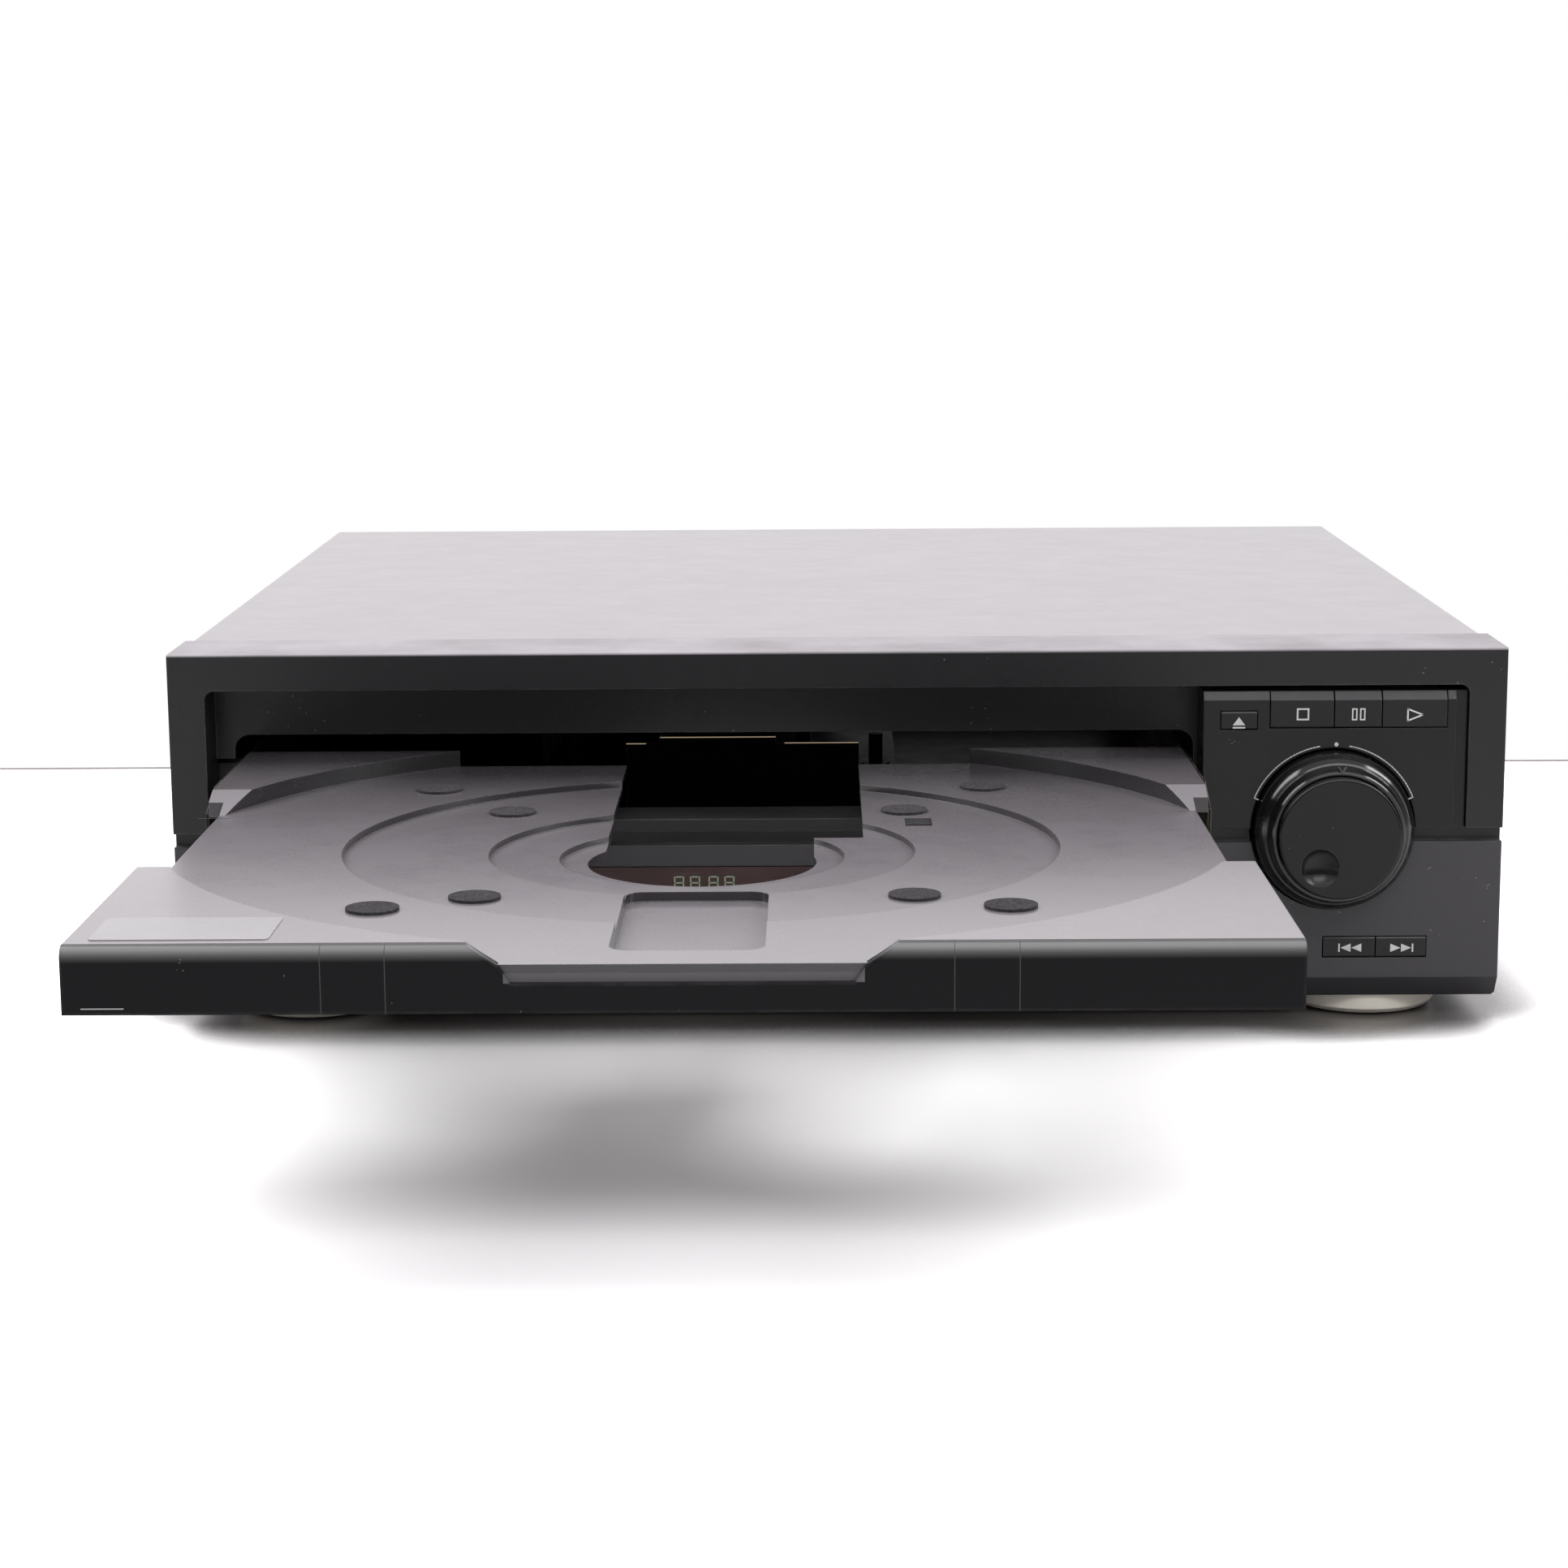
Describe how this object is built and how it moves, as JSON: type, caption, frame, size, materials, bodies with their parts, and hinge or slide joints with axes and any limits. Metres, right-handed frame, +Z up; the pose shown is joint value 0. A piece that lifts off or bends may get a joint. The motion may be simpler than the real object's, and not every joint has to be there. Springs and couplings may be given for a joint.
{
  "type": "laserdisc player",
  "caption": "Laserdisc player with an open motorised tray, jog dial in a shuttle ring, push buttons, and a lifting pickup unit inside.",
  "frame": {"origin": "on the floor, under the middle of the bounding box with the tray fully out", "axes": "+X to the right seen from the front, +Y to the rear, +Z up; the tray slides in along +Y"},
  "size_m": [0.42, 0.628, 0.12],
  "materials": {
    "front_black": "fine-textured satin black",
    "control_black": "gloss black",
    "key_black": "satin black",
    "smoked_window": "smoked gloss",
    "cover_grey": "fine-textured grey paint",
    "frame_black": "black-coated sheet steel",
    "galvanised": "passivated sheet steel",
    "rear_black": "satin black paint",
    "tray_grey": "satin grey",
    "tray_black": "satin black",
    "felt": "short felt",
    "blank_label": "printed sheet, bare",
    "foot_beige": "satin beige",
    "pad_black": "dull",
    "screw_steel": "zinc plated",
    "rod_steel": "ground",
    "acetal_white": "smooth",
    "acetal_black": "smooth",
    "belt_rubber": "dull",
    "board_green": "solder mask",
    "chip_black": "moulded",
    "can_blue": "sleeved",
    "sink_aluminium": "extruded",
    "core_steel": "varnished",
    "coil_tape": "taped winding",
    "motor_can": "plated can",
    "tube_glass": "dark tube",
    "lens_glass": "coated",
    "jack_plastic": "moulded",
    "jack_metal": "plated",
    "sled_alloy": "die-cast"
  },
  "bodies": {
    "case": {"front_panel": "front_black", "control_plate": "control_black", "display_window": "smoked_window", "bottom_chassis": "galvanised", "top_cover": "cover_grey", "rear_panel": "rear_black", "feet": "foot_beige", "foot_pads": "pad_black", "screws": "screw_steel", "dial_encoder": "acetal_black", "front_board": "board_green", "tact_switches": "chip_black", "display_tube": "tube_glass", "mech_chassis": "frame_black", "chassis_posts": "frame_black", "tray_guides": "acetal_black", "mech_dampers": "pad_black", "clamper_bridge": "galvanised", "loading_motor": "motor_can", "drive_belt": "belt_rubber", "circuit_boards": "board_green", "board_chips": "chip_black", "capacitors": "can_blue", "heat_sink": "sink_aluminium", "transformer_core": "core_steel", "transformer_coil": "coil_tape", "ac_inlet": "jack_plastic", "rear_jacks": "jack_metal"},
    "tray": {"tray": "tray_grey", "tray_lip": "tray_black", "tray_pads": "felt", "tray_rails": "galvanised", "tray_rack": "acetal_white", "tray_label": "blank_label"},
    "play_unit": {"mech_base": "galvanised", "sled_rack": "acetal_white", "guide_rods": "rod_steel", "spindle_motor": "motor_can"},
    "turntable": {"turntable": "acetal_black"},
    "sled": {"pickup_sled": "sled_alloy", "sled_motor": "motor_can"},
    "lens": {"lens_holder": "acetal_black", "objective_lens": "lens_glass"},
    "sled_gear": {"sled_gear": "acetal_white"},
    "sled_pinion": {"sled_pinion": "acetal_white"},
    "lift_cam": {"lift_cam": "acetal_white"},
    "clamper": {"clamper": "acetal_black"},
    "drive_gear": {"drive_gear": "acetal_white"},
    "pulley_gear": {"pulley_gear": "acetal_white"},
    "motor_pulley": {"motor_pulley": "acetal_black"},
    "jog_dial": {"jog_dial": "control_black"},
    "shuttle_ring": {"shuttle_ring": "control_black"},
    "open_close_button": {"open_close_button": "key_black"},
    "stop_button": {"stop_button": "key_black"},
    "pause_button": {"pause_button": "key_black"},
    "play_button": {"play_button": "key_black"},
    "skip_back_button": {"skip_back_button": "key_black"},
    "skip_forward_button": {"skip_forward_button": "key_black"},
    "select_button": {"select_button": "key_black"},
    "power_button": {"power_button": "key_black"}
  },
  "joints": [
    {"name": "tray_slide", "type": "slide", "parent": "case", "child": "tray", "axis": [0, 1, 0], "range_m": [0, 0.253]},
    {"name": "drive_gear_turn", "type": "hinge", "parent": "case", "child": "drive_gear", "pos_m": [0.074, -0.02, 0.068], "axis": [0, 0, 1], "range_deg": [-1, 806.32]},
    {"name": "pulley_gear_turn", "type": "hinge", "parent": "case", "child": "pulley_gear", "pos_m": [0.06367, 0.00494, 0.06], "axis": [0, 0, 1], "range_deg": [-1611.65, 1]},
    {"name": "motor_pulley_turn", "type": "hinge", "parent": "case", "child": "motor_pulley", "pos_m": [0.02367, 0.00494, 0.057], "axis": [0, 0, 1], "range_deg": [-5932.9, 1]},
    {"name": "play_lift", "type": "slide", "parent": "case", "child": "play_unit", "axis": [0, 0, 1], "range_m": [0, 0.0114]},
    {"name": "lift_cam_slide", "type": "slide", "parent": "case", "child": "lift_cam", "axis": [0, 1, 0], "range_m": [0, 0.0114]},
    {"name": "turntable_spin", "type": "hinge", "parent": "play_unit", "child": "turntable", "pos_m": [-0.039, 0.0853, 0.07], "axis": [0, 0, 1], "continuous": true},
    {"name": "sled_slide", "type": "slide", "parent": "play_unit", "child": "sled", "axis": [0, 1, 0], "range_m": [0, 0.123]},
    {"name": "sled_gear_turn", "type": "hinge", "parent": "sled", "child": "sled_gear", "pos_m": [-0.018, 0.1308, 0.0678], "axis": [0, 0, 1], "range_deg": [-1175.56, 1]},
    {"name": "sled_pinion_turn", "type": "hinge", "parent": "sled", "child": "sled_pinion", "pos_m": [-0.02507, 0.13787, 0.0678], "axis": [0, 0, 1], "range_deg": [-1, 1762.85]},
    {"name": "lens_focus", "type": "slide", "parent": "sled", "child": "lens", "axis": [0, 0, 1], "range_m": [-0.0007, 0.0007], "stiffness_N_per_m": 60, "springref_m": 0.00035},
    {"name": "clamper_float", "type": "slide", "parent": "case", "child": "clamper", "axis": [0, 0, 1], "range_m": [0, 0.002]},
    {"name": "jog_turn", "type": "hinge", "parent": "case", "child": "jog_dial", "pos_m": [0.1566, -0.075, 0.0625], "axis": [0, -1, 0], "continuous": true},
    {"name": "shuttle_turn", "type": "hinge", "parent": "case", "child": "shuttle_ring", "pos_m": [0.1566, -0.07, 0.0625], "axis": [0, -1, 0], "range_deg": [-75, 75], "stiffness_Nm_per_rad": 0.05},
    {"name": "open_close_press", "type": "slide", "parent": "case", "child": "open_close_button", "axis": [0, 1, 0], "range_m": [0, 0.0012], "stiffness_N_per_m": 600},
    {"name": "stop_press", "type": "slide", "parent": "case", "child": "stop_button", "axis": [0, 1, 0], "range_m": [0, 0.0012], "stiffness_N_per_m": 600},
    {"name": "pause_press", "type": "slide", "parent": "case", "child": "pause_button", "axis": [0, 1, 0], "range_m": [0, 0.0012], "stiffness_N_per_m": 600},
    {"name": "play_press", "type": "slide", "parent": "case", "child": "play_button", "axis": [0, 1, 0], "range_m": [0, 0.0012], "stiffness_N_per_m": 600},
    {"name": "skip_back_press", "type": "slide", "parent": "case", "child": "skip_back_button", "axis": [0, 1, 0], "range_m": [0, 0.0012], "stiffness_N_per_m": 600},
    {"name": "skip_forward_press", "type": "slide", "parent": "case", "child": "skip_forward_button", "axis": [0, 1, 0], "range_m": [0, 0.0012], "stiffness_N_per_m": 600},
    {"name": "select_press", "type": "slide", "parent": "case", "child": "select_button", "axis": [0, 1, 0], "range_m": [0, 0.0012], "stiffness_N_per_m": 600},
    {"name": "power_press", "type": "slide", "parent": "case", "child": "power_button", "axis": [0, 1, 0], "range_m": [0, 0.0012], "stiffness_N_per_m": 600}
  ],
  "couplings": [
    {"joint": "drive_gear_turn", "follows": "tray_slide", "rad_per_m": 55.556},
    {"joint": "pulley_gear_turn", "follows": "tray_slide", "rad_per_m": -111.11},
    {"joint": "motor_pulley_turn", "follows": "tray_slide", "rad_per_m": -409.21},
    {"joint": "lift_cam_slide", "follows": "play_lift", "ratio": 1},
    {"joint": "sled_gear_turn", "follows": "sled_slide", "rad_per_m": -166.67},
    {"joint": "sled_pinion_turn", "follows": "sled_slide", "rad_per_m": 250}
  ]
}
